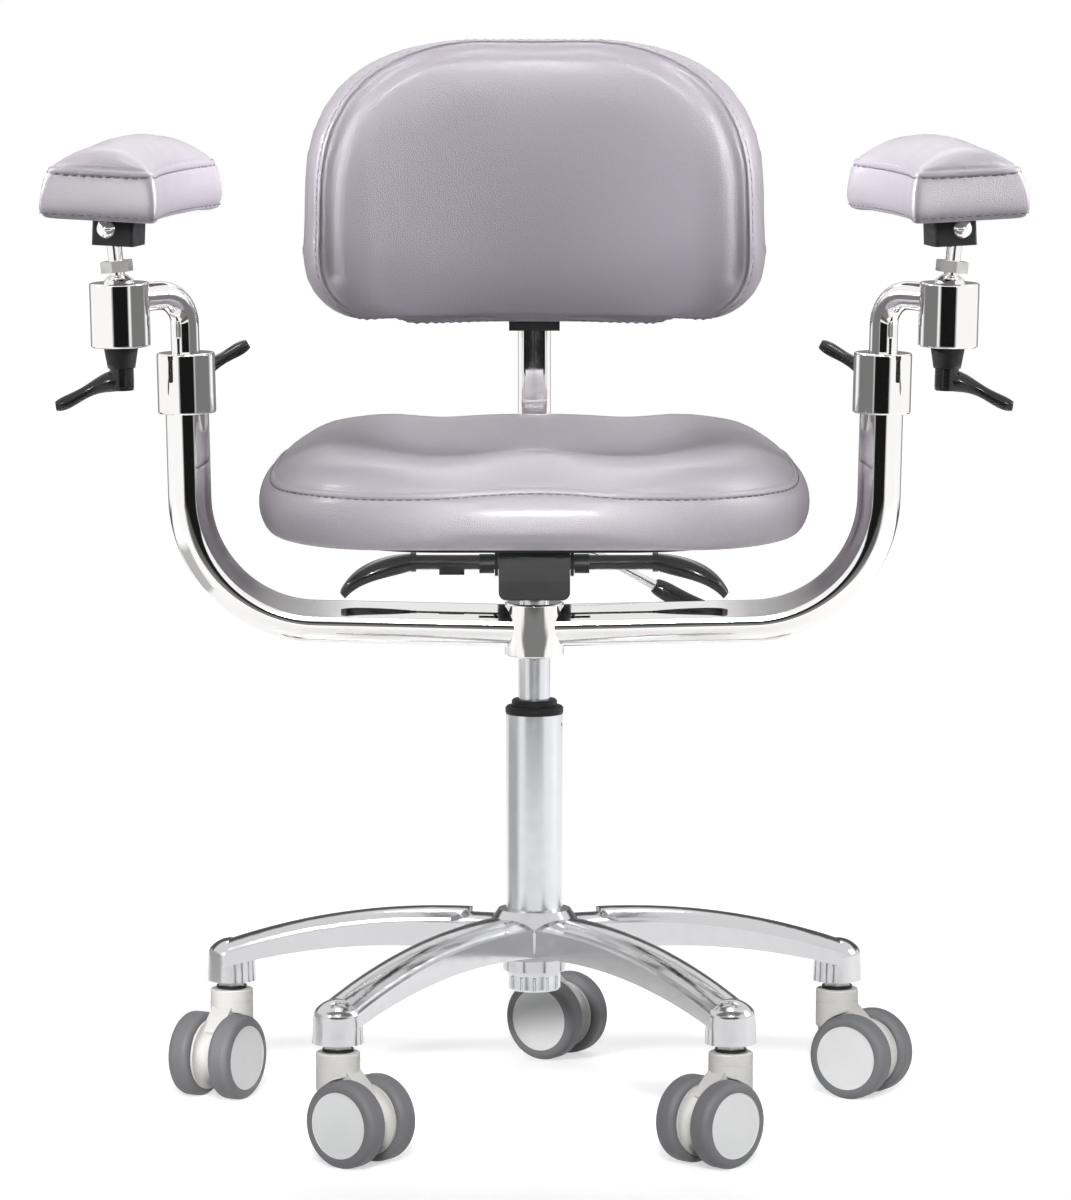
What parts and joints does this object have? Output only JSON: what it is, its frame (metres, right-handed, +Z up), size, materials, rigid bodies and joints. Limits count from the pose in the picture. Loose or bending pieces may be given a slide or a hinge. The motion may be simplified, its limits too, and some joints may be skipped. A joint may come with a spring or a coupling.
{
  "type": "laboratory chair",
  "caption": "Swivel laboratory chair on a star base with casters, gas lift, tilting padded seat, adjustable curved back and swinging arm rests with waisted pads on ball joints.",
  "frame": {"origin": "on the floor under the axis of the lift column", "axes": "+Z is up, +Y points to the back rest, so the sitter faces -Y, and +X is the sitter's left hand side"},
  "size_m": [0.8436, 0.6084, 0.9376],
  "materials": {
    "polished_aluminium": "polished casting",
    "satin_chrome": "satin chrome",
    "chrome": "mirror chrome plate",
    "steel": "zinc plated",
    "black_metal": "black powder coat",
    "black_plastic": "fine grain black",
    "lever_plastic": "smooth black",
    "upholstery": "pale lilac grey leatherette",
    "plywood": "raw plywood",
    "caster_plastic": "warm light grey",
    "wheel_plastic": "grey tread on a pale disc"
  },
  "bodies": {
    "base": {"star_base": "polished_aluminium", "column_tube": "satin_chrome", "column_bush": "black_plastic", "thrust_bearing": "steel", "caster_stems": "steel", "caster_dust_rings": "black_plastic"},
    "lift_rod": {"piston_rod": "steel"},
    "lift": {"gas_cylinder": "satin_chrome", "mech_housing": "black_metal", "mech_cover": "black_plastic", "pivot_pins": "steel", "arm_hub": "chrome", "arm_tube_left": "chrome", "arm_tube_right": "chrome", "arm_collars": "chrome"},
    "seat": {"seat_plate": "black_metal", "seat_board": "plywood", "seat_cushion": "upholstery"},
    "back_arm": {"back_bracket": "black_metal", "back_stem": "chrome"},
    "back_rest": {"back_sleeve": "black_plastic", "back_board": "upholstery", "back_cushion": "upholstery"},
    "height_handle": {"height_lever": "lever_plastic"},
    "back_handle": {"back_lever": "lever_plastic"},
    "tilt_handle": {"tilt_rod": "chrome", "tilt_grip": "lever_plastic"},
    "arm_guide_left": {"arm_plug_left": "black_plastic"},
    "arm_crank_left": {"arm_crank_left": "chrome"},
    "pad_swivel_cup_left": {"ball_cup_left": "black_plastic"},
    "pad_stud_left": {"ball_stud_left": "chrome"},
    "pad_left": {"pad_block_left": "black_plastic", "arm_pad_left": "upholstery"},
    "collar_clamp_left": {"collar_lever_left": "lever_plastic"},
    "socket_clamp_left": {"socket_lever_left": "lever_plastic"},
    "arm_guide_right": {"arm_plug_right": "black_plastic"},
    "arm_crank_right": {"arm_crank_right": "chrome"},
    "pad_swivel_cup_right": {"ball_cup_right": "black_plastic"},
    "pad_stud_right": {"ball_stud_right": "chrome"},
    "pad_right": {"pad_block_right": "black_plastic", "arm_pad_right": "upholstery"},
    "collar_clamp_right": {"collar_lever_right": "lever_plastic"},
    "socket_clamp_right": {"socket_lever_right": "lever_plastic"},
    "caster_rear": {"caster_rear_housing": "caster_plastic"},
    "caster_rear_wheel_1_body": {"caster_rear_wheel_1": "wheel_plastic"},
    "caster_rear_wheel_2_body": {"caster_rear_wheel_2": "wheel_plastic"},
    "caster_left": {"caster_left_housing": "caster_plastic"},
    "caster_left_wheel_1_body": {"caster_left_wheel_1": "wheel_plastic"},
    "caster_left_wheel_2_body": {"caster_left_wheel_2": "wheel_plastic"},
    "caster_front_left": {"caster_front_left_housing": "caster_plastic"},
    "caster_front_left_wheel_1_body": {"caster_front_left_wheel_1": "wheel_plastic"},
    "caster_front_left_wheel_2_body": {"caster_front_left_wheel_2": "wheel_plastic"},
    "caster_front_right": {"caster_front_right_housing": "caster_plastic"},
    "caster_front_right_wheel_1_body": {"caster_front_right_wheel_1": "wheel_plastic"},
    "caster_front_right_wheel_2_body": {"caster_front_right_wheel_2": "wheel_plastic"},
    "caster_right": {"caster_right_housing": "caster_plastic"},
    "caster_right_wheel_1_body": {"caster_right_wheel_1": "wheel_plastic"},
    "caster_right_wheel_2_body": {"caster_right_wheel_2": "wheel_plastic"}
  },
  "joints": [
    {"name": "seat_swivel", "type": "hinge", "parent": "base", "child": "lift_rod", "pos_m": [0, 0, 0.2], "axis": [0, 0, 1], "continuous": true},
    {"name": "seat_lift", "type": "slide", "parent": "lift_rod", "child": "lift", "axis": [0, 0, 1], "range_m": [-0.035, 0.1]},
    {"name": "seat_tilt", "type": "hinge", "parent": "lift", "child": "seat", "pos_m": [0, -0.058, 0.493], "axis": [1, 0, 0], "range_deg": [0, 6]},
    {"name": "back_angle", "type": "hinge", "parent": "lift", "child": "back_arm", "pos_m": [0, 0.064, 0.489], "axis": [-1, 0, 0], "range_deg": [-5, 20]},
    {"name": "back_height", "type": "slide", "parent": "back_arm", "child": "back_rest", "axis": [0, 0, 1], "range_m": [-0.03, 0.05]},
    {"name": "height_lever_lift", "type": "hinge", "parent": "lift", "child": "height_handle", "pos_m": [-0.0295, -0.03, 0.491], "axis": [0, 1, 0], "range_deg": [0, 7], "stiffness_Nm_per_rad": 4, "springref_deg": -1.72},
    {"name": "back_lever_lift", "type": "hinge", "parent": "lift", "child": "back_handle", "pos_m": [0.0295, -0.03, 0.491], "axis": [0, -1, 0], "range_deg": [0, 7], "stiffness_Nm_per_rad": 4, "springref_deg": -1.72},
    {"name": "tilt_lever_lift", "type": "hinge", "parent": "lift", "child": "tilt_handle", "pos_m": [0.0295, 0.038, 0.492], "axis": [0, -1, 0], "range_deg": [0, 7], "stiffness_Nm_per_rad": 4, "springref_deg": -1.72},
    {"name": "arm_height_left", "type": "slide", "parent": "lift", "child": "arm_guide_left", "axis": [-0.0236, 0, 0.9997], "range_m": [-0.015, 0.044]},
    {"name": "arm_swing_left", "type": "hinge", "parent": "arm_guide_left", "child": "arm_crank_left", "pos_m": [-0.304, 0, 0.6455], "axis": [-0.0236, 0, 0.9997], "range_deg": [-45, 45]},
    {"name": "pad_turn_left", "type": "hinge", "parent": "arm_crank_left", "child": "pad_swivel_cup_left", "pos_m": [-0.3596, -0.045, 0.72871], "axis": [-0.0236, 0, 0.9997], "range_deg": [-60, 60]},
    {"name": "pad_pitch_left", "type": "hinge", "parent": "pad_swivel_cup_left", "child": "pad_stud_left", "pos_m": [-0.3596, -0.045, 0.72871], "axis": [0.972, -0.2351, 0], "range_deg": [-10, 10]},
    {"name": "pad_roll_left", "type": "hinge", "parent": "pad_stud_left", "child": "pad_left", "pos_m": [-0.36527, -0.04362, 0.78421], "axis": [0.2351, 0.972, 0], "range_deg": [-10, 8]},
    {"name": "collar_lever_turn_left", "type": "hinge", "parent": "lift", "child": "collar_clamp_left", "pos_m": [-0.304, 0.03, 0.6455], "axis": [0, 1, 0], "range_deg": [-40, 40]},
    {"name": "socket_lever_turn_left", "type": "hinge", "parent": "arm_crank_left", "child": "socket_clamp_left", "pos_m": [-0.35847, -0.045, 0.68073], "axis": [-0.0236, 0, 0.9997], "range_deg": [-60, 60]},
    {"name": "arm_height_right", "type": "slide", "parent": "lift", "child": "arm_guide_right", "axis": [0.0236, 0, 0.9997], "range_m": [-0.015, 0.044]},
    {"name": "arm_swing_right", "type": "hinge", "parent": "arm_guide_right", "child": "arm_crank_right", "pos_m": [0.304, 0, 0.6455], "axis": [-0.0236, 0, -0.9997], "range_deg": [-45, 45]},
    {"name": "pad_turn_right", "type": "hinge", "parent": "arm_crank_right", "child": "pad_swivel_cup_right", "pos_m": [0.3596, -0.045, 0.72871], "axis": [-0.0236, 0, -0.9997], "range_deg": [-60, 60]},
    {"name": "pad_pitch_right", "type": "hinge", "parent": "pad_swivel_cup_right", "child": "pad_stud_right", "pos_m": [0.3596, -0.045, 0.72871], "axis": [0.972, 0.2351, 0], "range_deg": [-10, 10]},
    {"name": "pad_roll_right", "type": "hinge", "parent": "pad_stud_right", "child": "pad_right", "pos_m": [0.36527, -0.04362, 0.78421], "axis": [0.2351, -0.972, 0], "range_deg": [-10, 8]},
    {"name": "collar_lever_turn_right", "type": "hinge", "parent": "lift", "child": "collar_clamp_right", "pos_m": [0.304, 0.03, 0.6455], "axis": [0, -1, 0], "range_deg": [-40, 40]},
    {"name": "socket_lever_turn_right", "type": "hinge", "parent": "arm_crank_right", "child": "socket_clamp_right", "pos_m": [0.35847, -0.045, 0.68073], "axis": [-0.0236, 0, -0.9997], "range_deg": [-60, 60]},
    {"name": "caster_rear_swivel", "type": "hinge", "parent": "base", "child": "caster_rear", "pos_m": [0, 0.2845, 0.09], "axis": [0, 0, 1], "continuous": true},
    {"name": "caster_rear_wheel_1_spin", "type": "hinge", "parent": "caster_rear", "child": "caster_rear_wheel_1_body", "pos_m": [0.02082, 0.27066, 0.0375], "axis": [0.5534, 0.8329, 0], "continuous": true},
    {"name": "caster_rear_wheel_2_spin", "type": "hinge", "parent": "caster_rear", "child": "caster_rear_wheel_2_body", "pos_m": [0.02082, 0.27066, 0.0375], "axis": [0.5534, 0.8329, 0], "continuous": true},
    {"name": "caster_left_swivel", "type": "hinge", "parent": "base", "child": "caster_left", "pos_m": [-0.27058, 0.08791, 0.09], "axis": [0, 0, 1], "continuous": true},
    {"name": "caster_left_wheel_1_spin", "type": "hinge", "parent": "caster_left", "child": "caster_left_wheel_1_body", "pos_m": [-0.2827, 0.06605, 0.0375], "axis": [0.8746, -0.4848, 0], "continuous": true},
    {"name": "caster_left_wheel_2_spin", "type": "hinge", "parent": "caster_left", "child": "caster_left_wheel_2_body", "pos_m": [-0.2827, 0.06605, 0.0375], "axis": [0.8746, -0.4848, 0], "continuous": true},
    {"name": "caster_front_left_swivel", "type": "hinge", "parent": "base", "child": "caster_front_left", "pos_m": [-0.16723, -0.23017, 0.09], "axis": [0, 0, 1], "continuous": true},
    {"name": "caster_front_left_wheel_1_spin", "type": "hinge", "parent": "caster_front_left", "child": "caster_front_left_wheel_1_body", "pos_m": [-0.14747, -0.24549, 0.0375], "axis": [0.6129, 0.7902, 0], "continuous": true},
    {"name": "caster_front_left_wheel_2_spin", "type": "hinge", "parent": "caster_front_left", "child": "caster_front_left_wheel_2_body", "pos_m": [-0.14747, -0.24549, 0.0375], "axis": [0.6129, 0.7902, 0], "continuous": true},
    {"name": "caster_front_right_swivel", "type": "hinge", "parent": "base", "child": "caster_front_right", "pos_m": [0.16723, -0.23017, 0.09], "axis": [0, 0, 1], "continuous": true},
    {"name": "caster_front_right_wheel_1_spin", "type": "hinge", "parent": "caster_front_right", "child": "caster_front_right_wheel_1_body", "pos_m": [0.1493, -0.24759, 0.0375], "axis": [0.6972, -0.7169, 0], "continuous": true},
    {"name": "caster_front_right_wheel_2_spin", "type": "hinge", "parent": "caster_front_right", "child": "caster_front_right_wheel_2_body", "pos_m": [0.1493, -0.24759, 0.0375], "axis": [0.6972, -0.7169, 0], "continuous": true},
    {"name": "caster_right_swivel", "type": "hinge", "parent": "base", "child": "caster_right", "pos_m": [0.27058, 0.08791, 0.09], "axis": [0, 0, 1], "continuous": true},
    {"name": "caster_right_wheel_1_spin", "type": "hinge", "parent": "caster_right", "child": "caster_right_wheel_1_body", "pos_m": [0.29223, 0.07541, 0.0375], "axis": [0.5, 0.866, 0], "continuous": true},
    {"name": "caster_right_wheel_2_spin", "type": "hinge", "parent": "caster_right", "child": "caster_right_wheel_2_body", "pos_m": [0.29223, 0.07541, 0.0375], "axis": [0.5, 0.866, 0], "continuous": true}
  ]
}
